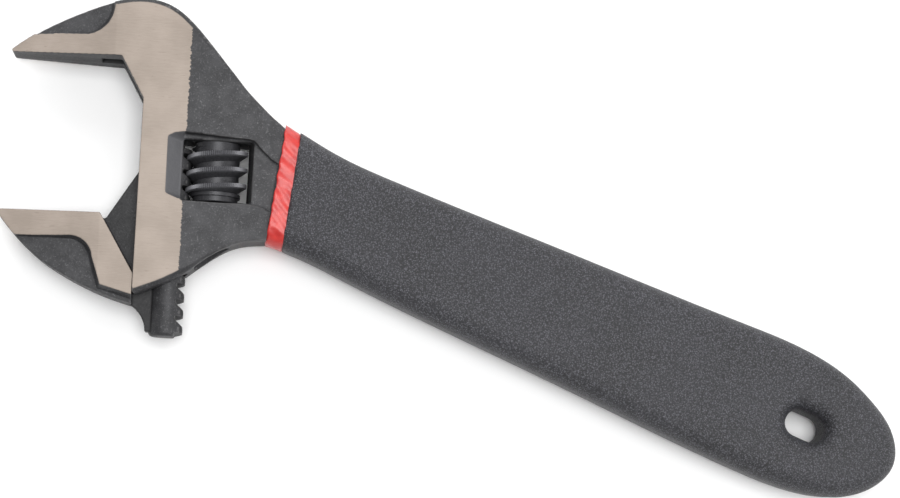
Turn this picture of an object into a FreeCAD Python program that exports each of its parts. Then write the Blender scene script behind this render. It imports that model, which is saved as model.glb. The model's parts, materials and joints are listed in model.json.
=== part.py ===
import FreeCAD, Part
import math
import os

# Adjustable wrench, nominal 200 mm size with an extra-wide jaw.
# Millimetres. While it is built, x = 0 is the front face the jaw slides on and +X runs
# towards the handle, y = 0 lies just behind the working face of the fixed jaw and +Y is
# the direction the movable jaw closes in, and z = 0 is the mid-plane of the forging.

V = FreeCAD.Vector

# Head and jaws
HEAD_HALF = 6.6  # half thickness over the ground faces
NECK_HALF = 4.9  # half thickness of the forging where it enters the grip
NECK_X = 32.0  # where that thickness is reached
GROUND_X = 9.3  # where the ground faces stop and the as-forged surface starts
JAW_TIP_X = -27.8
TIP_HALF = 3.4  # half thickness of both jaws at their tips
TAPER_X = -6.5  # where the jaws start to thin towards their tips
FACE_Y = -0.5  # working face of the fixed jaw
OPENING = 33.8  # gap between the jaw faces as stored
THROAT_X = -5.05  # root of the fixed jaw face
THROAT_Y = -9.4  # where the throat slope meets the slide face
JAW_HALF = 6.2  # half thickness of the movable jaw at its root
SCOOP_DEPTH = 2.0  # depth of the forged hollows along the backs of the jaws
EDGE_ROUND = 1.5

# Slide: rod with its rack, and the web that carries the jaw
ROD_X = 7.4
ROD_R = 3.7
ROD_TOP = -18.9
ROD_BOTTOM = -59.6
WEB_HALF = 1.8
SLIDE_GAP = 0.06  # running clearance of the jaw in the head
SLOT_HALF = WEB_HALF + SLIDE_GAP
BORE_R = ROD_R + SLIDE_GAP

# Worm and its window
PITCH = 3.5
WORM_X = 16.25
WORM_R = 6.55
WORM_ROOT_R = 4.8
WORM_TOP = -17.4
WORM_BOTTOM = -30.4
CREST_Y = -20.11  # centre of a thread crest where it faces +Z
CREST_LAND = 0.8
FLAT_FLANK = math.radians(5.0)
SLOPED_FLANK = math.radians(36.0)
FLANK_GAP = 0.2  # play between the worm's flanks and the rack's
RACK_ROOT = 9.1  # x of the bottoms of the rack's tooth spaces
RACK_TIP = 10.85  # x of the flat that runs along the tips of the teeth
MESH_R = 5.9  # the teeth lean by the thread's lead at this radius
TURNED_END = 1.2  # the thread is turned away over this length at both ends
COLLAR_R = 5.3
COLLAR = 0.8
WINDOW = (9.0, 22.95, -30.55, -17.35)  # low x, high x, low y, high y
POCKET_Z = 4.5  # floor of the thumb hollows beside the window

# Pin and spring of the worm
PIN_R = 2.0
PIN_GAP = 0.05
PIN_TOP = -12.4
PLUG_R = 2.75  # screwed end of the pin, in the lower wall of the window
PLUG_LENGTH = 7.0
SPRING_WIRE_R = 0.3
SPRING_R = 2.65  # mean radius of the coil
SPRING_TURNS = 3.5
WELL_R = 3.3  # counterbore in the worm that houses the spring
WELL_DEPTH = 4.2

# Handle and the two coats of its grip
LEAN = math.radians(21.0)  # the handle leaves the head at this angle below +X
GRIP_HALF = 6.3
GRIP_ROUND = 4.5
OUTER_COAT = 0.6
INNER_COAT = 0.9
OUTER_COAT_Z = 0.6
BAND_STEP = 0.2  # the inner coat's bead stands this far below the outer coat
HOLE_U = 163.1
HOLE_V = -15.1
HOLE_HALF_LENGTH = 4.65
HOLE_HALF_WIDTH = 2.85
HOLE_ROUND = 3.5  # the rims of the hole roll over this smoothly


def outline(start, *steps):
    """Closed wire at z = 0. A step of one point is a line, of two an arc, of more a curve."""
    edges = []
    here = V(*start)
    for step in steps:
        there = V(*step[-1])
        if len(step) == 1:
            edges.append(Part.makeLine(here, there))
        elif len(step) == 2:
            edges.append(Part.Arc(here, V(*step[0]), there).toShape())
        else:
            curve = Part.BSplineCurve()
            curve.interpolate([here] + [V(*point) for point in step])
            edges.append(curve.toShape())
        here = there
    return Part.Wire(edges)


def slab(wire, low, high):
    face = Part.Face(wire)
    face.translate(V(0, 0, low))
    return face.extrude(V(0, 0, high - low))


def box(x, y, z):
    corner = V(x[0], y[0], z[0])
    return Part.makeBox(x[1] - x[0], y[1] - y[0], z[1] - z[0], corner)


def rod_along_y(x, radius, low, high):
    return Part.makeCylinder(radius, high - low, V(x, low, 0), V(0, 1, 0))


def both_faces(tool):
    """The tool together with its mirror image below the mid-plane."""
    return [tool, tool.mirror(V(0, 0, 0), V(0, 0, 1))]


def above_slope(x0, z0, x1, z1, reach):
    """Everything over a plane that falls from (x0, z0) to (x1, z1) as x leaves x0."""
    far = x1 + reach * math.copysign(1.0, x1 - x0)
    z_far = z0 + (z1 - z0) * (far - x0) / (x1 - x0)
    corners = [V(x0, -80, z0), V(x0, -80, 20), V(far, -80, 20), V(far, -80, z_far)]
    face = Part.Face(Part.makePolygon(corners + corners[:1]))
    return face.extrude(V(0, 110, 0))


def on_handle(u, v):
    """Point given along and across the handle, in the frame of the head."""
    x = u * math.cos(LEAN) + v * math.sin(LEAN)
    y = v * math.cos(LEAN) - u * math.sin(LEAN)
    return (x, y)


def round_edges(solid, radius, keep):
    """Fillet the edges for which keep(middle point, edge) is true."""
    chosen = []
    for edge in solid.Edges:
        middle = edge.valueAt((edge.FirstParameter + edge.LastParameter) / 2)
        if keep(middle, edge):
            chosen.append(edge)
    return solid.makeFillet(radius, chosen)


def helical(profile, turns, low):
    """Sweep a profile of (radius, y) corners about the worm's axis, right-handed."""
    spine = Part.makeHelix(PITCH, PITCH * turns, WORM_R)
    corners = [V(r, 0, y) for r, y in profile]
    section = Part.makePolygon(corners + corners[:1])
    sweep = Part.BRepOffsetAPI.MakePipeShell(spine)
    sweep.setFrenetMode(True)
    sweep.add(section)
    sweep.build()
    sweep.makeSolid()
    solid = sweep.shape()
    # The helix stands on z; lay it along +Y, starting from the side that faces +Z.
    solid.rotate(V(0, 0, 0), V(1, 0, 0), -90)
    solid.rotate(V(0, 0, 0), V(0, 1, 0), -90)
    solid.translate(V(WORM_X, low, 0))
    return solid


def ridge(crest_radius, play):
    """Corners of one thread ridge about y = 0, buttress shaped: flat above, sloped below."""
    top = CREST_LAND / 2 + play / math.cos(FLAT_FLANK)
    low = -CREST_LAND / 2 - play / math.cos(SLOPED_FLANK)
    root = WORM_ROOT_R - 0.3
    rise = WORM_R - crest_radius
    fall = WORM_R - root
    return [
        (crest_radius, low - rise * math.tan(SLOPED_FLANK)),
        (crest_radius, top + rise * math.tan(FLAT_FLANK)),
        (root, top + fall * math.tan(FLAT_FLANK)),
        (root, low - fall * math.tan(SLOPED_FLANK)),
    ]


# ---------------------------------------------------------------------------------------
# Handle outline: smooth closed curve around the outer coat, along and across the handle
grip_points = [
    (10.0, -13.0),
    (16.0, -3.4),
    (27.0, -0.2),
    (36.9, -1.0),
    (46.0, -2.2),
    (58.0, -2.4),
    (100.0, -1.0),
    (142.0, 0.5),
    (157.0, 0.75),
    (167.0, -0.7),
    (175.0, -3.7),
    (181.5, -8.0),
    (184.9, -12.0),
    (184.7, -15.8),
    (181.8, -22.0),
    (176.5, -26.1),
    (167.5, -28.9),
    (153.0, -29.75),
    (110.0, -28.35),
    (58.0, -26.45),
    (44.5, -26.0),
    (36.0, -26.7),
    (26.0, -26.4),
    (15.5, -22.5),
]


around_grip = Part.BSplineCurve()
around_grip.interpolate(Points=[V(*on_handle(u, v)) for u, v in grip_points], PeriodicFlag=True)


def handle_plan(inset):
    """The handle's plan, drawn in by the inset from the outside of the grip."""
    stations = []
    span = around_grip.LastParameter - around_grip.FirstParameter
    for step in range(48):
        at = around_grip.FirstParameter + span * step / 48
        along = around_grip.tangent(at)[0]
        stations.append(around_grip.value(at) + V(along.y, -along.x, 0) * inset)
    around = Part.BSplineCurve()
    around.interpolate(Points=stations, PeriodicFlag=True)
    return Part.Wire(around.toShape())


def hanging_slot(growth):
    """Plan of the hanging hole, a slot along the handle, grown all round."""
    half_width = HOLE_HALF_WIDTH + growth
    straight = HOLE_HALF_LENGTH - HOLE_HALF_WIDTH
    ring = outline(
        (-straight, -half_width),
        [(straight, -half_width)],
        [(straight + half_width, 0), (straight, half_width)],
        [(-straight, half_width)],
        [(-straight - half_width, 0), (-straight, -half_width)],
    )
    ring.rotate(V(0, 0, 0), V(0, 0, 1), -math.degrees(LEAN))
    ring.translate(V(*on_handle(HOLE_U, HOLE_V)))
    return ring


def handle_core(inset, half):
    """The handle's rounded bar with its hanging hole, drawn in from the grip's outside."""
    bar = slab(handle_plan(inset), -half, half)
    on_face = lambda at, edge: abs(abs(at.z) - half) < 1e-6
    bar = round_edges(bar, GRIP_ROUND - inset, on_face)
    bar = bar.cut(slab(hanging_slot(inset), -20, 20))
    hole_x, hole_y = on_handle(HOLE_U, HOLE_V)
    near_hole = lambda at, edge: on_face(at, edge) and math.hypot(at.x - hole_x, at.y - hole_y) < 7
    return round_edges(bar, HOLE_ROUND - inset, near_hole)


def beyond(x_top, x_bottom):
    """Everything on the handle's side of the slanted line across the neck."""
    corners = [(x_top, -8.0), (260, -8.0), (260, -140), (x_bottom, -140), (x_bottom, -46.0)]
    wire = outline(corners[0], *[[c] for c in corners[1:]], [corners[0]])
    return slab(wire, -20, 20)


# ---------------------------------------------------------------------------------------
# body: shank, head and fixed jaw, one forging
top_curve = [
    (-20.0, 5.8),
    (-13.8, 8.9),
    (-6.8, 11.6),
    (-0.2, 12.55),
    (5.0, 11.3),
    (12.1, 5.3),
    (18.5, -2.1),
    (25.0, -9.3),
    (30.9, -14.1),
]
neck_top = on_handle(46.0, -3.9)
neck_bottom = on_handle(50.0, -24.4)
shoulder_curve = [on_handle(44.0, -24.6), (27.9, -38.35), (22.1, -39.0), (15.3, -42.7), (10.9, -46.1)]
head_plan = outline(
    (0.0, THROAT_Y),
    [(THROAT_X, FACE_Y)],
    [(JAW_TIP_X, FACE_Y)],
    [(JAW_TIP_X - 0.6, 0.0), (JAW_TIP_X - 0.3, 0.6)],
    top_curve + [neck_top],
    [neck_bottom],
    shoulder_curve + [(0.9, -51.0)],
    [(0.25, -50.95), (0.0, -50.4)],
    [(0.0, THROAT_Y)],
)
# The outer edges are rounded on a blank that runs on past both ends of the curves
blank_plan = outline(
    (-38.0, -12.0),
    [(-27.5, 0.85)] + top_curve + [neck_top],
    [neck_bottom],
    shoulder_curve + [(0.9, -51.0), (-10.0, -55.0)],
    [(-38.0, -55.0)],
    [(-38.0, -12.0)],
)
blank = slab(blank_plan, -HEAD_HALF, HEAD_HALF)


def long_curve(at, edge):
    return abs(abs(at.z) - HEAD_HALF) < 1e-6 and edge.Curve.TypeId == "Part::GeomBSplineCurve"


blank = round_edges(blank, EDGE_ROUND, long_curve)
head = slab(head_plan, -HEAD_HALF - 1, HEAD_HALF + 1).common(blank)

thinning = both_faces(above_slope(GROUND_X, HEAD_HALF, NECK_X, NECK_HALF, 40))
thinning += both_faces(above_slope(TAPER_X, HEAD_HALF, JAW_TIP_X, TIP_HALF, 10))
for wedge in thinning:
    head = head.cut(wedge)

# Forged hollow along the back of the fixed jaw, its inner wall leaning outwards
floor_tilt = (HEAD_HALF - TIP_HALF - 1.2) / (TAPER_X - JAW_TIP_X)


def scoop(plan, lean_x, lean_y, half):
    """Hollow cut into a jaw's side from its outer edge, shallower towards the tip."""
    face = Part.Face(plan)
    face.translate(V(0, 0, half - SCOOP_DEPTH))
    tool = face.extrude(V(lean_x, lean_y, SCOOP_DEPTH + 1.0))
    floor = (half - SCOOP_DEPTH, half - SCOOP_DEPTH - floor_tilt * (TAPER_X - JAW_TIP_X))
    under = above_slope(TAPER_X, floor[0], JAW_TIP_X, floor[1], 10)
    deep = Part.Face(plan)
    deep.translate(V(0, 0, half - SCOOP_DEPTH - 3.0))
    tilted = deep.extrude(V(0, 0, 3.01)).common(under)
    return tool.fuse(tilted).removeSplitter()


fixed_scoop = scoop(
    outline(
        (-29.5, 3.4),
        [(-23.5, 3.5)],
        [(-12.4, 4.3)],
        [(-9.4, 6.2), (-7.6, 10.6)],
        [(-7.2, 18.0)],
        [(-29.5, 18.0)],
        [(-29.5, 3.4)],
    ),
    0.75,
    -1.0,
    HEAD_HALF,
)
for tool in both_faces(fixed_scoop):
    head = head.cut(tool)

# Window for the worm, its bevelled front end and the thumb hollows behind it
x0, x1, y0, y1 = WINDOW
head = head.cut(box((x0, x1), (y0, y1), (-20, 20)))
pocket = slab(
    outline(
        (x0, y1 + 1.2),
        [(22.6, y1 + 0.5)],
        [(24.0, -17.2), (25.0, -18.2)],
        [(27.8, -20.8)],
        [(29.2, -21.6)],
        [(40.0, -22.3)],
        [(40.0, -33.0)],
        [(28.0, -32.1)],
        [(25.4, -31.1), (23.6, y0 - 0.3)],
        [(x0, y0 - 0.3)],
        [(x0, y1 + 1.2)],
    ),
    POCKET_Z,
    20,
)
bevel_top = outline(
    (5.55, -17.2),
    [(5.7, -29.4)],
    [(8.5, -30.5)],
    [(13.0, -31.0)],
    [(13.0, -16.0)],
    [(9.4, -16.0)],
    [(7.0, -16.4)],
    [(5.55, -17.2)],
)
bevel_top.translate(V(0, 0, HEAD_HALF + 0.01))
bevel_low = outline(
    (x0 - 0.3, -17.8),
    [(x0 - 0.3, -29.5)],
    [(9.5, y0)],
    [(13.0, y0)],
    [(13.0, y1)],
    [(10.0, y1)],
    [(9.2, y1 - 0.1)],
    [(x0 - 0.3, -17.8)],
)
bevel_low.translate(V(0, 0, 4.0))
bevel = Part.makeLoft([bevel_low, bevel_top], True, True)
# The far wall of the window is drafted: nearest to the worm at mid-thickness
draft = [V(x1 - 0.1, y0, 0.4), V(x1, y0, 0.4), V(x1 + 1.0, y0, POCKET_Z), V(x1 + 1.0, y0, 20)]
draft.append(V(x1 - 0.1, y0, 20))
draft = Part.Face(Part.makePolygon(draft + draft[:1])).extrude(V(0, y1 - y0, 0))
for tool in both_faces(draft):
    head = head.cut(tool)

# The shank inside the grip: the forging steps in a little where the first coat starts
shank = handle_core(OUTER_COAT + INNER_COAT, NECK_HALF)
band_front = beyond(31.15, 26.65)
band_back = beyond(34.45, 30.2)
body = head.cut(band_front).fuse(shank.common(beyond(29.15, 24.65)))
for tool in both_faces(pocket.cut(band_front)):
    body = body.cut(tool)
body = body.removeSplitter()

# Way of the jaw: a round bore for the rod and a slot for the web, open at both ends
slot_plan = outline(
    (-9.6, -60.0),
    [(-9.6, -0.2)],
    [(-6.0, 7.2), (-2.6, 14.5)],
    [(ROD_X, 14.5)],
    [(ROD_X, -60.0)],
    [(-9.6, -60.0)],
)
body = body.cut(slab(slot_plan, -SLOT_HALF, SLOT_HALF))
body = body.cut(rod_along_y(ROD_X, BORE_R, -60, 16))

# Bores for the worm's pin: blind above the window, wider and countersunk below it
body = body.cut(rod_along_y(WORM_X, PIN_R + 0.02, y1 - 1, PIN_TOP + 0.2))
body = body.cut(rod_along_y(WORM_X, PLUG_R + 0.02, -50, y0 + 0.5))
countersink = Part.makeCone(5.6, PLUG_R, 6.0, V(WORM_X, -44.6, 0), V(0, 1, 0))
body = body.cut(countersink)
for tool in both_faces(bevel):
    body = body.cut(tool)

# ---------------------------------------------------------------------------------------
# grip_inner: first coat, seen only as the bead at the neck; grip_outer: second coat
first = handle_core(OUTER_COAT, GRIP_HALF - OUTER_COAT_Z)
bead = handle_core(BAND_STEP, GRIP_HALF - OUTER_COAT_Z)
bead = bead.cut(shank).common(band_front).cut(band_back)
grip_inner = first.cut(shank).common(band_back).fuse(bead).removeSplitter()
grip_outer = handle_core(0.0, GRIP_HALF).cut(first).common(band_back)

# ---------------------------------------------------------------------------------------
# movable_jaw: jaw, web and rod with its rack, one forging
face_y = FACE_Y - OPENING
jaw_plan = outline(
    (-SLIDE_GAP, -46.8),
    [(-7.6, face_y)],
    [(-28.2, face_y)],
    [(-28.95, face_y - 0.5), (-28.6, face_y - 1.5)],
    [(-25.0, -40.0), (-19.3, -44.9)],
    [(-10.6, -49.6), (-SLIDE_GAP, -53.1)],
    [(-SLIDE_GAP, -46.8)],
)
jaw = slab(jaw_plan, -JAW_HALF, JAW_HALF)
for wedge in both_faces(above_slope(TAPER_X - 1, JAW_HALF, -28.2, TIP_HALF, 10)):
    jaw = jaw.cut(wedge)
jaw_scoop = scoop(
    outline(
        (-30.0, -39.4),
        [(-24.6, -39.7)],
        [(-14.6, -39.8)],
        [(-10.9, -41.0), (-9.2, -44.2)],
        [(-7.2, -50.2)],
        [(0.5, -52.3)],
        [(0.5, -60.0)],
        [(-30.0, -60.0)],
        [(-30.0, -39.4)],
    ),
    0.7,
    1.0,
    JAW_HALF,
)
for tool in both_faces(jaw_scoop):
    jaw = jaw.cut(tool)

web_plan = outline(
    (-8.2, -40.0),
    [(-8.2, face_y - 0.2)],
    [(-7.1, face_y - 0.75), (-6.1, face_y + 0.1)],
    [(0.1, -24.0)],
    [(0.6, -23.2), (0.8, -22.2)],
    [(0.8, ROD_TOP)],
    [(ROD_X, ROD_TOP)],
    [(ROD_X, ROD_BOTTOM + 0.9)],
    [(2.95, ROD_BOTTOM + 0.9)],
    [(1.6, -54.9), (-2.2, -52.4)],
    [(-8.2, -40.0)],
)
web = slab(web_plan, -WEB_HALF, WEB_HALF)
rod = rod_along_y(ROD_X, ROD_R, ROD_BOTTOM, ROD_TOP)
rod = round_edges(rod, 0.9, lambda at, edge: edge.Length > 20)

# The tooth spaces are milled straight across the rod, leaning by the thread's lead
crest_at_rack = CREST_Y - PITCH / 4
lead_lean = PITCH / (2 * math.pi * MESH_R)
reach = ROD_R + 1.0
profile = [V(WORM_X - r, crest_at_rack + y, -reach) for r, y in ridge(WORM_X - RACK_ROOT, FLANK_GAP)]
space = Part.Face(Part.makePolygon(profile + profile[:1]))
space.translate(V(0, -lead_lean * reach, 0))
space = space.extrude(V(0, 2 * lead_lean * reach, 2 * reach))
rod = rod.fuse(web)
count_down = int((crest_at_rack - ROD_BOTTOM) / PITCH) + 1
for step in range(-1, count_down + 1):
    cut = space.copy()
    cut.translate(V(0, -PITCH * step, 0))
    rod = rod.cut(cut)
rod = rod.cut(box((RACK_TIP, 20), (-80, 20), (-20, 20)))
movable_jaw = jaw.fuse(rod).removeSplitter()

# ---------------------------------------------------------------------------------------
# worm: buttress thread on a plain core, bored for the pin, with a well for the spring
turns = math.ceil((WORM_TOP - WORM_BOTTOM) / PITCH) + 2
start = CREST_Y - PITCH * (turns - 1)
thread = helical(ridge(WORM_R, 0.0), turns, start)
core = rod_along_y(WORM_X, WORM_ROOT_R, WORM_BOTTOM, WORM_TOP)
threaded = (WORM_BOTTOM + TURNED_END + COLLAR, WORM_TOP - TURNED_END)
collar_low = WORM_BOTTOM + TURNED_END
worm = core.fuse(thread.common(rod_along_y(WORM_X, WORM_R + 1, *threaded)))
worm = worm.fuse(rod_along_y(WORM_X, COLLAR_R, collar_low, collar_low + COLLAR))
worm = worm.cut(rod_along_y(WORM_X, PIN_R + PIN_GAP, -40, -10))
worm = worm.cut(rod_along_y(WORM_X, WELL_R, WORM_BOTTOM - 1, WORM_BOTTOM + WELL_DEPTH))

# worm_pin: plain journal with a wider screwed end, slotted for a screwdriver
plug_low = y0 - PLUG_LENGTH - 0.3
worm_pin = rod_along_y(WORM_X, PIN_R, plug_low, PIN_TOP)
plug = rod_along_y(WORM_X, PLUG_R, plug_low, y0 - 0.3)
plug = round_edges(plug, 0.4, lambda at, edge: edge.Length > 15)
worm_pin = worm_pin.fuse(plug)
slot = box((WORM_X - 5, WORM_X + 5), (plug_low - 1, plug_low + 1.3), (-0.45, 0.45))
worm_pin = worm_pin.cut(slot)

# worm_spring: takes up the worm's end play
spring_low = y0 + SPRING_WIRE_R + 0.03
spring_high = WORM_BOTTOM + WELL_DEPTH - SPRING_WIRE_R - 0.03
spring_pitch = (spring_high - spring_low) / SPRING_TURNS
coil = Part.makeHelix(spring_pitch, spring_high - spring_low, SPRING_R)
wire_section = Part.Wire(Part.makeCircle(SPRING_WIRE_R, V(SPRING_R, 0, 0), V(0, 1, 0)))
worm_spring = Part.Wire(coil).makePipeShell([wire_section], True, True)
worm_spring.rotate(V(0, 0, 0), V(1, 0, 0), -90)
worm_spring.translate(V(WORM_X, spring_low, 0))

# ---------------------------------------------------------------------------------------
# Origin at the middle of the overall box, on its lowest plane; one file for each piece
nodes = {
    "body": body,
    "movable_jaw": movable_jaw,
    "worm": worm,
    "worm_pin": worm_pin,
    "worm_spring": worm_spring,
    "grip_inner": grip_inner,
    "grip_outer": grip_outer,
}
whole = Part.makeCompound(list(nodes.values())).optimalBoundingBox(True)
shift = V(-whole.Center.x, -whole.Center.y, -whole.ZMin)
os.makedirs("parts", exist_ok=True)
for name, solid in nodes.items():
    solid.translate(shift)
    solid.exportStep("parts/" + name + ".step")
    print(name, solid.isValid(), len(solid.Solids), round(solid.Volume, 1))
print("shift", shift)
print("size", whole.XLength, whole.YLength, whole.ZLength)
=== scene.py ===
import json
import math

import bmesh
import bpy
import numpy as np
from mathutils import Matrix, Vector, noise


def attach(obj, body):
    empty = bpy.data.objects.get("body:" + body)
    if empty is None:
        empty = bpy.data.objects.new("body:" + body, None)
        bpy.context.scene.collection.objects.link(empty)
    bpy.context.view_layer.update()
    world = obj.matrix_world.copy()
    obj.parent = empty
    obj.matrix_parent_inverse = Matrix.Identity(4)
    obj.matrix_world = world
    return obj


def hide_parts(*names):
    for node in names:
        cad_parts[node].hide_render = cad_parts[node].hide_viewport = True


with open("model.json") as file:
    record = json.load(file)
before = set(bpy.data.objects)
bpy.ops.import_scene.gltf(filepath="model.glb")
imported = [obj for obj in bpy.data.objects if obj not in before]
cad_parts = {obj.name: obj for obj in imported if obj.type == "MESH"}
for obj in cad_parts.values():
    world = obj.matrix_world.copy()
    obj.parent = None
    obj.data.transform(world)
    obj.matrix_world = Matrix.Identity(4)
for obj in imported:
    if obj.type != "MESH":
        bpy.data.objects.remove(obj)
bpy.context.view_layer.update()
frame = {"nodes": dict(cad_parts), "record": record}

MM = 0.001
scene = bpy.context.scene

# The head's own frame, used all through: x = 0 is the face the jaw slides on, y = 0 lies
# half a millimetre behind the fixed jaw's working face, z = 0 is the mid-plane. The fixed
# jaw's mount tells where it is.
mounts = {mount["name"]: Vector(mount["pos_m"]) for mount in frame["record"]["mounts"]}
HEAD = mounts["fixed_jaw_face"] + Vector((16.0, 0.5, 0.0)) * MM

HEAD_HALF = 6.6  # half thickness over the ground faces of the head
JAW_HALF = 6.2
TIP_HALF = 3.4  # the jaws thin to this half thickness at their tips
GROUND_X = 9.3  # where the ground faces stop
PITCH = 3.5
WORM_X = 16.25
WORM_R = 6.55
WORM_ROOT_R = 4.8
WORM_TOP = -17.4
WORM_BOTTOM = -30.4
THREAD_TOP = -18.6
THREAD_BOTTOM = -28.4
COLLAR_R = 5.3
COLLAR_BOTTOM = -29.2
CREST_LAND = 0.8
BORE_R = 2.05  # the worm's bore, round its pin
WELL_R = 3.3  # counterbore at the worm's lower end, which houses the spring
WELL_DEPTH = 4.2
FLAT_FLANK = math.radians(5.0)
SLOPED_FLANK = math.radians(36.0)
CREST_Y = -20.11  # a thread crest where it faces +Z
SERRATIONS = 90
SERRATION_DEPTH = 0.22
COLUMNS = 720  # columns of vertices round the worm
TURNED_EASE = 0.15  # chamfer at the worm's two ends
COLLAR_EASE = 0.1
BAND_BACK = (Vector((34.45, -8.0, 0.0)), Vector((30.2, -46.0, 0.0)))


def place(x, y, z=0.0):
    """Row-frame point, in metres, of a point of the head's frame in millimetres."""
    return HEAD + Vector((x, y, z)) * MM


# ------------------------------------------------------------------ camera and light
def set_camera():
    eye = place(21.61, -89.24, 403.0)
    aim = place(67.59, -37.33)
    data = bpy.data.cameras.new("camera")
    data.lens = 75.0
    data.sensor_width = 36.0
    camera = bpy.data.objects.new("camera", data)
    scene.collection.objects.link(camera)
    back = (eye - aim).normalized()
    right = Vector((0.0, 1.0, 0.0)).cross(back).normalized()
    up = back.cross(right)
    turn = Matrix((right, up, back)).transposed().to_4x4()
    roll = Matrix.Rotation(math.radians(2.3), 4, "Z")
    camera.matrix_world = Matrix.Translation(eye) @ turn @ roll
    scene.camera = camera


def area_light(name, at, target, size, watts, colour=(1.0, 1.0, 1.0)):
    data = bpy.data.lights.new(name, "AREA")
    data.shape = "RECTANGLE"
    data.size, data.size_y = size
    data.energy = watts
    data.color = colour
    light = bpy.data.objects.new(name, data)
    scene.collection.objects.link(light)
    light.location = at
    light.rotation_euler = (Vector(target) - Vector(at)).to_track_quat("-Z", "Y").to_euler()


def set_light():
    world = bpy.data.worlds.new("studio")
    world.use_nodes = True
    sky = world.node_tree.nodes["Background"]
    sky.inputs["Color"].default_value = (1.0, 1.0, 1.0, 1.0)
    sky.inputs["Strength"].default_value = 0.4
    scene.world = world
    area_light("overhead", (0.0, 0.0, 1.2), (0, 0, 0), (0.7, 0.7), 11.0)
    area_light("key", (-0.1, 0.9, 0.5), (0, 0, 0), (0.9, 0.5), 5.0)
    area_light("fill", (0.9, -0.2, 0.5), (0, 0, 0), (0.6, 0.5), 3.0)
    scene.view_settings.view_transform = "Standard"


# ------------------------------------------------------------------ mesh helpers
def welded_copy(node):
    """A bmesh of a CAD node, with the vertices along its sharp edges joined again."""
    mesh = bmesh.new()
    mesh.from_mesh(frame["nodes"][node].data)
    bmesh.ops.remove_doubles(mesh, verts=mesh.verts, dist=1e-6)
    return mesh


def plane_of(line):
    """Point and normal (towards the handle) of the upright plane over a slanted line."""
    run = (line[1] - line[0]).normalized()
    return HEAD + line[0] * MM, Vector((-run.y, run.x, 0.0))


def keep_side(mesh, point, normal):
    """Cut a closed bmesh by a plane, keep the side the normal points to, close the cut."""
    cut = bmesh.ops.bisect_plane(
        mesh,
        geom=mesh.verts[:] + mesh.edges[:] + mesh.faces[:],
        plane_co=point,
        plane_no=normal,
        clear_inner=True,
        dist=1e-7,
    )
    rim = [part for part in cut["geom_cut"] if isinstance(part, bmesh.types.BMEdge)]
    bmesh.ops.holes_fill(mesh, edges=rim, sides=0)
    bmesh.ops.triangulate(mesh, faces=[face for face in mesh.faces if len(face.verts) > 4])


def new_object(name, mesh):
    obj = bpy.data.objects.new(name, mesh)
    scene.collection.objects.link(obj)
    return obj


def remeshed(name, mesh, voxel, smoothing):
    """Even, closed mesh over a bmesh, with its edges eased by smoothing."""
    data = bpy.data.meshes.new(name)
    mesh.to_mesh(data)
    mesh.free()
    rough = new_object(name + "_rough", data)
    remesh = rough.modifiers.new("remesh", "REMESH")
    remesh.mode = "VOXEL"
    remesh.voxel_size = voxel * MM
    if smoothing:
        smooth = rough.modifiers.new("smooth", "SMOOTH")
        smooth.factor = 0.5
        smooth.iterations = smoothing
    bpy.context.view_layer.update()
    evaluated = rough.evaluated_get(bpy.context.evaluated_depsgraph_get())
    result = bpy.data.meshes.new_from_object(evaluated)
    bpy.data.objects.remove(rough)
    result.name = name
    for polygon in result.polygons:
        polygon.use_smooth = True
    return new_object(name, result)


def points_of(obj):
    """Vertices in the head's frame, in millimetres, and their normals."""
    data = obj.data
    points = np.empty(len(data.vertices) * 3)
    data.vertices.foreach_get("co", points)
    normals = np.empty(len(data.vertices) * 3)
    data.vertices.foreach_get("normal", normals)
    points = (points.reshape(-1, 3) - np.array(HEAD)) / MM
    return points, normals.reshape(-1, 3)


def set_points(obj, points):
    obj.data.vertices.foreach_set("co", (points * MM + np.array(HEAD)).ravel())
    obj.data.update()


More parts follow.
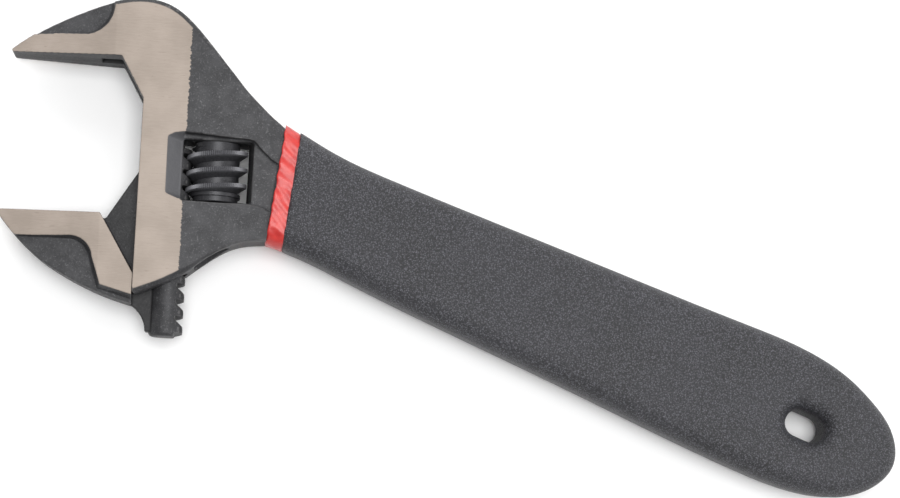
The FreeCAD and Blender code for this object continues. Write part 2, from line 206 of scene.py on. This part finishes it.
# ------------------------------------------------------------------ material helpers
class Nodes:
    """Short hand for wiring a material's node tree."""

    def __init__(self, name):
        self.material = bpy.data.materials.new(name)
        self.material.use_nodes = True
        self.tree = self.material.node_tree
        self.shader = self.tree.nodes["Principled BSDF"]

    def node(self, kind, **settings):
        made = self.tree.nodes.new(kind)
        for key, value in settings.items():
            setattr(made, key, value)
        return made

    def link(self, value, socket):
        if hasattr(value, "is_linked"):
            self.tree.links.new(value, socket)
        else:
            socket.default_value = value

    def math(self, operation, *values, clamp=False):
        made = self.node("ShaderNodeMath", operation=operation, use_clamp=clamp)
        for value, socket in zip(values, made.inputs):
            self.link(value, socket)
        return made.outputs[0]

    def place(self):
        """Position in the head's frame, in millimetres; it stays with a moving piece."""
        coords = self.node("ShaderNodeTexCoord").outputs["Object"]
        away = self.node("ShaderNodeVectorMath", operation="SUBTRACT")
        self.link(coords, away.inputs[0])
        away.inputs[1].default_value = HEAD
        scaled = self.node("ShaderNodeVectorMath", operation="SCALE")
        self.link(away.outputs[0], scaled.inputs[0])
        scaled.inputs["Scale"].default_value = 1 / MM
        return scaled.outputs[0]

    def split(self, vector):
        parts = self.node("ShaderNodeSeparateXYZ")
        self.link(vector, parts.inputs[0])
        return parts.outputs

    def stretch(self, vector, scale, turn=0.0):
        mapping = self.node("ShaderNodeMapping")
        self.link(vector, mapping.inputs["Vector"])
        mapping.inputs["Scale"].default_value = scale
        mapping.inputs["Rotation"].default_value = (0.0, 0.0, turn)
        return mapping.outputs[0]

    def noise(self, vector, scale, detail=2.0, roughness=0.5):
        made = self.node("ShaderNodeTexNoise")
        self.link(vector, made.inputs["Vector"])
        made.inputs["Scale"].default_value = scale
        made.inputs["Detail"].default_value = detail
        made.inputs["Roughness"].default_value = roughness
        return made.outputs["Fac"]

    def ramp(self, value, low, high, out_low=0.0, out_high=1.0):
        made = self.node("ShaderNodeMapRange", interpolation_type="SMOOTHSTEP")
        self.link(value, made.inputs["Value"])
        made.inputs["From Min"].default_value = low
        made.inputs["From Max"].default_value = high
        made.inputs["To Min"].default_value = out_low
        made.inputs["To Max"].default_value = out_high
        return made.outputs["Result"]

    def band(self, value, low, high, soft):
        """One between low and high, falling to zero over a soft width inside both."""
        rise = self.ramp(value, low, low + soft)
        return self.math("MULTIPLY", rise, self.ramp(value, high - soft, high, 1.0, 0.0))

    def mix(self, factor, first, second):
        made = self.node("ShaderNodeMix", data_type="RGBA")
        self.link(factor, made.inputs["Factor"])
        self.link(first, made.inputs["A"])
        self.link(second, made.inputs["B"])
        return made.outputs["Result"]

    def blend(self, factor, first, second):
        made = self.node("ShaderNodeMix", data_type="FLOAT")
        self.link(factor, made.inputs["Factor"])
        self.link(first, made.inputs["A"])
        self.link(second, made.inputs["B"])
        return made.outputs["Result"]

    def bump(self, height, strength, distance, normal=None):
        made = self.node("ShaderNodeBump")
        self.link(height, made.inputs["Height"])
        made.inputs["Strength"].default_value = strength
        made.inputs["Distance"].default_value = distance * MM
        if normal is not None:
            self.link(normal, made.inputs["Normal"])
        return made.outputs["Normal"]

    def set(self, **sockets):
        for name, value in sockets.items():
            self.link(value, self.shader.inputs[name.replace("_", " ")])
        return self.material


def rgb(red, green, blue):
    """Linear colour of a display colour given as 0 to 255."""
    linear = []
    for value in (red, green, blue):
        value /= 255
        linear.append(value / 12.92 if value <= 0.04045 else ((value + 0.055) / 1.055) ** 2.4)
    return (*linear, 1.0)


# ------------------------------------------------------------------ materials
def forged_steel(name, half, taper_x, tip_x, run_out):
    """Dark forging whose side faces are ground bright where they stand highest."""
    m = Nodes(name)
    at = m.place()
    x, y, z = m.split(at)
    # Height above the ground planes, which slope down towards the jaw's tip
    slope = (half - TIP_HALF) / (taper_x - tip_x)
    drop = m.math("MULTIPLY", m.math("MAXIMUM", m.math("SUBTRACT", taper_x, x), 0.0), slope)
    over = m.math("ADD", m.math("SUBTRACT", m.math("ABSOLUTE", z), half), drop)
    ragged = m.noise(m.stretch(at, (0.25, 1.6, 0.0)), 1.0, detail=5.0, roughness=0.7)
    edge = m.math("MULTIPLY_ADD", ragged, 1.6, run_out - 0.8)
    inside = m.ramp(m.math("SUBTRACT", edge, x), -0.05, 0.05)
    ground = m.math("MULTIPLY", m.ramp(over, -0.12, -0.04), inside)

    # Ground faces: fine scratches across the jaw, a few pits and a warm uneven tone
    scratches = m.noise(m.stretch(at, (0.45, 5.0, 1.0)), 1.0, detail=6.0, roughness=0.75)
    broad = m.noise(at, 0.12, detail=3.0)
    pits = m.ramp(m.noise(m.stretch(at, (0.5, 2.4, 1.0)), 1.0, detail=4.0), 0.66, 0.74)
    tone = m.math("ADD", m.math("MULTIPLY", scratches, 0.55), m.math("MULTIPLY", broad, 0.45))
    bright = m.mix(m.ramp(tone, 0.3, 0.7), rgb(140, 129, 119), rgb(164, 152, 142))
    bright = m.mix(m.math("MULTIPLY", pits, 0.35), bright, rgb(112, 99, 90))

    # Forging: matt dark scale, mottled, with pale scuffs where tools rub
    grain = m.noise(at, 3.2, detail=6.0, roughness=0.7)
    mottle = m.noise(at, 0.22, detail=4.0, roughness=0.6)
    scuffs = m.ramp(m.noise(m.stretch(at, (0.9, 0.35, 0.9), 0.6), 1.0, 6.0, 0.75), 0.62, 0.75)
    worn = m.ramp(m.node("ShaderNodeNewGeometry").outputs["Pointiness"], 0.515, 0.56)
    dark = m.mix(m.ramp(mottle, 0.35, 0.65), rgb(48, 48, 50), rgb(62, 62, 64))
    dark = m.mix(m.math("MULTIPLY", scuffs, 0.4), dark, rgb(138, 138, 140))
    dark = m.mix(m.math("MULTIPLY", worn, 0.35), dark, rgb(130, 128, 128))
    specks = m.ramp(m.noise(at, 2.4, detail=5.0, roughness=0.8), 0.54, 0.7, 0.0, 0.7)
    dark = m.mix(specks, dark, rgb(120, 120, 122))
    # The bevel at the front of the worm's window is rubbed paler than the rest
    patch = m.math("MULTIPLY", m.band(x, 4.8, 9.6, 0.6), m.band(y, -31.4, -15.6, 0.6))
    paler_tone = m.math("MULTIPLY", patch, m.ramp(over, -2.8, -2.5, 0.0, 0.8))
    dark = m.mix(paler_tone, dark, rgb(104, 104, 107))
    # Painted shade: surfaces close to the mid-plane, in slots and recesses, are darkened to
    # near black
    painted_recess_shade = m.ramp(m.math("ABSOLUTE", z), 1.86, 2.4, 0.7, 0.0)
    dark = m.mix(painted_recess_shade, dark, rgb(24, 24, 25))

    rough_ground = m.ramp(scratches, 0.3, 0.7, 0.56, 0.68)
    rough_forged = m.ramp(grain, 0.3, 0.7, 0.5, 0.66)
    scratch_bump = m.bump(scratches, 0.18, 0.02)
    forge_bump = m.bump(grain, 0.5, 0.06, m.bump(mottle, 0.5, 0.4))
    normal = m.node("ShaderNodeMix", data_type="VECTOR")
    m.link(ground, normal.inputs["Factor"])
    m.link(forge_bump, normal.inputs["A"])
    m.link(scratch_bump, normal.inputs["B"])
    return m.set(
        Base_Color=m.mix(ground, dark, bright),
        Metallic=m.blend(ground, 0.35, 0.3),
        Roughness=m.blend(ground, rough_forged, rough_ground),
        Normal=normal.outputs["Result"],
    )


def blackened_steel():
    """The worm: dark oxide, its serrated crests paler, partly rubbed wear and partly a painted
    highlight.
    """
    m = Nodes("blackened_steel")
    at = m.place()
    x, y, z = m.split(at)
    away = m.math("SUBTRACT", x, WORM_X)
    radius = m.math("SQRT", m.math("ADD", m.math("POWER", away, 2.0), m.math("POWER", z, 2.0)))
    crest = m.ramp(radius, WORM_R - 0.6, WORM_R - 0.05)
    grain = m.noise(at, 4.0, detail=5.0, roughness=0.7)
    dark = m.mix(m.ramp(grain, 0.35, 0.7), rgb(48, 48, 51), rgb(72, 72, 75))
    # Crests painted paler: partly rubbed wear, partly a painted highlight standing in for the
    # glints on the serrations
    paler_tone = m.math("MULTIPLY", crest, m.ramp(grain, 0.3, 0.6, 0.4, 0.9))
    colour = m.mix(paler_tone, dark, rgb(100, 100, 104))
    return m.set(
        Base_Color=colour,
        Metallic=0.4,
        Roughness=m.ramp(grain, 0.3, 0.7, 0.36, 0.52),
        Normal=m.bump(grain, 0.3, 0.04),
    )


def turned_steel(name, pale, deep):
    """Plain machined steel with fine turning marks round the Y axis."""
    m = Nodes(name)
    at = m.place()
    rings = m.noise(m.stretch(at, (0.3, 9.0, 0.3)), 1.0, detail=4.0)
    stain = m.noise(at, 0.6, detail=3.0)
    blotch = m.math("MULTIPLY", m.math("ADD", rings, stain), 0.5)
    colour = m.mix(m.ramp(blotch, 0.35, 0.65), deep, pale)
    return m.set(
        Base_Color=colour,
        Metallic=0.85,
        Roughness=m.ramp(rings, 0.3, 0.7, 0.3, 0.48),
        Normal=m.bump(rings, 0.3, 0.02),
    )


def red_vinyl():
    """Glossy dipped coat, its red mottled in a soft cloud."""
    m = Nodes("red_vinyl")
    at = m.place()
    cloud = m.noise(at, 0.5, detail=3.0)
    fine = m.noise(at, 5.0, detail=3.0)
    colour = m.mix(m.ramp(cloud, 0.35, 0.65), rgb(184, 38, 35), rgb(202, 54, 48))
    return m.set(
        Base_Color=colour,
        Roughness=m.ramp(fine, 0.3, 0.7, 0.36, 0.48),
        Coat_Weight=0.25,
        Coat_Roughness=0.24,
        Normal=m.bump(fine, 0.12, 0.04),
    )


def sanded_vinyl():
    """Black dipped coat with a fine sand texture that catches the light in specks."""
    m = Nodes("sanded_vinyl")
    at = m.place()
    grains = m.node("ShaderNodeTexVoronoi", feature="F1", voronoi_dimensions="3D")
    m.link(at, grains.inputs["Vector"])
    grains.inputs["Scale"].default_value = 2.8
    bead = m.ramp(grains.outputs["Distance"], 0.0, 0.65, 1.0, 0.0)
    fine = m.noise(at, 1.9, detail=6.0, roughness=0.85)
    broad = m.noise(at, 0.07, detail=3.0)
    height = m.math("ADD", m.math("MULTIPLY", bead, 0.3), m.math("MULTIPLY", fine, 1.1))
    base = m.mix(m.ramp(broad, 0.35, 0.65), rgb(26, 26, 29), rgb(33, 33, 37))
    specks = m.ramp(height, 0.5, 0.95)
    colour = m.mix(m.math("MULTIPLY", specks, 0.8), base, rgb(112, 112, 119))
    return m.set(
        Base_Color=colour,
        Roughness=m.ramp(fine, 0.3, 0.7, 0.42, 0.6),
        Normal=m.bump(height, 0.9, 0.2),
    )


def pale_floor():
    m = Nodes("pale_floor")
    cloud = m.noise(m.place(), 0.01, detail=2.0)
    colour = m.mix(cloud, (0.93, 0.93, 0.93, 1.0), (0.96, 0.96, 0.96, 1.0))
    return m.set(Base_Color=colour, Roughness=0.9)


# ------------------------------------------------------------------ pieces
def head_and_shank(material):
    """The body forging. The head is remeshed finely; the shank stays hidden in the grip."""
    point, normal = plane_of(BAND_BACK)
    inside_grip = point + normal * 3 * MM
    head_mesh = welded_copy("body")
    keep_side(head_mesh, inside_grip, -normal)
    head = remeshed("head_forging", head_mesh, 0.22, 2)
    points, normals = points_of(head)
    # As-forged surfaces are never quite flat; the ground ones are left true
    forged = np.clip((points[:, 0] - GROUND_X - 0.4) / 2.0, 0.0, 1.0)
    for index in np.nonzero(forged > 0)[0]:
        wave = noise.noise(Vector(points[index]) * 0.16)
        points[index] += normals[index] * forged[index] * wave * 0.12
    set_points(head, points)
    head.data.materials.append(material)

    shank_mesh = welded_copy("body")
    keep_side(shank_mesh, inside_grip, normal)
    data = bpy.data.meshes.new("shank_forging")
    shank_mesh.to_mesh(data)
    shank_mesh.free()
    shank = new_object("shank_forging", data)
    data.materials.append(material)
    for piece in (head, shank):
        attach(piece, "frame")
        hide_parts("body")


def sliding_jaw(material):
    jaw = remeshed("jaw_forging", welded_copy("movable_jaw"), 0.16, 2)
    jaw.data.materials.append(material)
    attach(jaw, "jaw")
    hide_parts("movable_jaw")


def thread_radius(phase):
    """Radius of the buttress thread at a height above a crest's middle."""
    phase = (phase + PITCH / 2) % PITCH - PITCH / 2
    up = max(phase - CREST_LAND / 2, 0.0) / math.tan(FLAT_FLANK)
    down = max(-phase - CREST_LAND / 2, 0.0) / math.tan(SLOPED_FLANK)
    return max(WORM_R - max(up, down), WORM_ROOT_R)


def worm_screw(material):
    """Thread drawn on a grid that follows the helix, with its turned ends and bore."""
    foot = -CREST_LAND / 2 - (WORM_R - WORM_ROOT_R) * math.tan(SLOPED_FLANK)
    brink = CREST_LAND / 2 + (WORM_R - WORM_ROOT_R) * math.tan(FLAT_FLANK)
    # One pitch of the profile, from the foot of the sloped flank up
    phases = [foot + share * (-CREST_LAND / 2 - foot) for share in (0.0, 0.25, 0.5, 0.75, 0.9)]
    phases += [CREST_LAND * share for share in (-0.5, -0.42, -0.2, 0.1, 0.42, 0.5)]
    phases += [(CREST_LAND / 2 + brink) / 2, brink, (brink + foot + PITCH) / 2]
    rows = [CREST_Y + PITCH * lap + phase for lap in range(-5, 3) for phase in phases]
    mesh = bmesh.new()

    def vertex(step, height, radius):
        angle = 2 * math.pi * step / COLUMNS
        x = WORM_X + radius * math.sin(angle)
        return mesh.verts.new(place(x, height, radius * math.cos(angle)))

    columns = []
    for step in range(COLUMNS):
        rise = PITCH * step / COLUMNS
        serration = abs((step * SERRATIONS / COLUMNS) % 1.0 - 0.5) * 2
        column = []
        for row in rows:
            height = min(max(row + rise, THREAD_BOTTOM), THREAD_TOP)
            radius = thread_radius(height - rise - CREST_Y)
            crest = min(max((radius - WORM_R + 0.4) / 0.35, 0.0), 1.0)
            column.append(vertex(step, height, radius - SERRATION_DEPTH * crest * serration))
        columns.append(column)
    for step in range(COLUMNS):
        lapped = step + 1 == COLUMNS
        offset = len(phases) if lapped else 0
        column, after = columns[step], columns[0 if lapped else step + 1]
        for row in range(len(rows) - 1 - offset):
            low, high = row + offset, row + 1 + offset
            mesh.faces.new((column[row], column[row + 1], after[high], after[low]))

    # Turned ends, collar, spring well and bore: from the thread's top over to its bottom
    outline = [
        (THREAD_TOP, WORM_ROOT_R),
        (WORM_TOP - TURNED_EASE, WORM_ROOT_R),
        (WORM_TOP, WORM_ROOT_R - TURNED_EASE),
        (WORM_TOP, BORE_R),
        (WORM_BOTTOM + WELL_DEPTH, BORE_R),
        (WORM_BOTTOM + WELL_DEPTH, WELL_R),
        (WORM_BOTTOM, WELL_R),
        (WORM_BOTTOM, WORM_ROOT_R - TURNED_EASE),
        (WORM_BOTTOM + TURNED_EASE, WORM_ROOT_R),
        (COLLAR_BOTTOM, WORM_ROOT_R),
        (COLLAR_BOTTOM, COLLAR_R - COLLAR_EASE),
        (COLLAR_BOTTOM + COLLAR_EASE, COLLAR_R),
        (THREAD_BOTTOM, COLLAR_R),
    ]
    loops = [[column[-1] for column in columns]]
    for height, radius in outline:
        loops.append([vertex(step, height, radius) for step in range(COLUMNS)])
    loops.append([column[0] for column in columns])
    for first, second in zip(loops, loops[1:]):
        for step in range(COLUMNS):
            after = (step + 1) % COLUMNS
            mesh.faces.new((first[step], first[after], second[after], second[step]))
    bmesh.ops.remove_doubles(mesh, verts=mesh.verts, dist=0.004 * MM)
    bmesh.ops.recalc_face_normals(mesh, faces=mesh.faces)
    data = bpy.data.meshes.new("worm_screw")
    mesh.to_mesh(data)
    mesh.free()
    worm = new_object("worm_screw", data)
    data.materials.append(material)
    for polygon in data.polygons:
        polygon.use_smooth = True
    data.set_sharp_from_angle(angle=math.radians(35))
    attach(worm, "worm")
    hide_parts("worm")


def neck_band(material):
    """The visible bead of the first coat, with the ripples a dip leaves as it sets."""
    point, normal = plane_of(BAND_BACK)
    mesh = welded_copy("grip_inner")
    keep_side(mesh, point + normal * 1.2 * MM, -normal)
    band = remeshed("neck_band", mesh, 0.18, 4)
    points, normals = points_of(band)
    # The dip sags into a fuller bead at the handle's lower edge
    sag = np.clip((-36.0 - points[:, 1]) / 7.0, 0.0, 1.0)
    for index, (at, out) in enumerate(zip(points, normals)):
        ripple = noise.noise(Vector((at[0] * 0.5 + at[1] * 0.45, at[1] * 0.22, at[2] * 0.2)))
        points[index] += out * (ripple * 0.3 + sag[index] * 0.3)
    set_points(band, points)
    band.data.materials.append(material)
    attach(band, "frame")
    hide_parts("grip_inner")


def grip_sleeve(material):
    """The second coat: the outside of its CAD shell, closed at the neck and eased."""
    point, normal = plane_of(BAND_BACK)
    mesh = welded_copy("grip_outer")
    rim = []
    for face in mesh.faces:
        if all(abs((vert.co - point).dot(normal)) < 1e-5 for vert in face.verts):
            rim.append(face)
    bmesh.ops.delete(mesh, geom=rim, context="FACES")
    start = max(mesh.verts, key=lambda vert: vert.co.z)
    outside, queue = {start}, [start]
    while queue:
        for edge in queue.pop().link_edges:
            for vert in edge.verts:
                if vert not in outside:
                    outside.add(vert)
                    queue.append(vert)
    inner = [vert for vert in mesh.verts if vert not in outside]
    bmesh.ops.delete(mesh, geom=inner, context="VERTS")
    bmesh.ops.holes_fill(mesh, edges=[edge for edge in mesh.edges if edge.is_boundary], sides=0)
    bmesh.ops.triangulate(mesh, faces=[face for face in mesh.faces if len(face.verts) > 4])
    grip = remeshed("grip_sleeve", mesh, 0.5, 6)
    grip.data.materials.append(material)
    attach(grip, "frame")
    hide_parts("grip_outer")


def dress_cad(node, material):
    """Give a carried-over CAD node its finish and ease its edges."""
    obj = frame["nodes"][node]
    obj.data.materials.clear()
    obj.data.materials.append(material)
    bevel = obj.modifiers.new("eased", "BEVEL")
    bevel.width = 0.08 * MM
    bevel.segments = 2
    bevel.limit_method = "ANGLE"
    bevel.angle_limit = math.radians(40)


set_camera()
set_light()
head_and_shank(forged_steel("head_steel", HEAD_HALF, -6.5, -27.8, GROUND_X + 0.2))
sliding_jaw(forged_steel("jaw_steel", JAW_HALF, -7.5, -28.2, 1.5))
worm_screw(blackened_steel())
neck_band(red_vinyl())
grip_sleeve(sanded_vinyl())
dress_cad("worm_pin", turned_steel("pin_steel", rgb(150, 150, 152), rgb(96, 96, 98)))
dress_cad("worm_spring", turned_steel("spring_steel", rgb(170, 170, 172), rgb(110, 110, 112)))

bpy.ops.mesh.primitive_plane_add(size=6.0, location=(0, 0, 0))
floor = bpy.context.object
floor.name = "floor"
floor.data.materials.append(pale_floor())
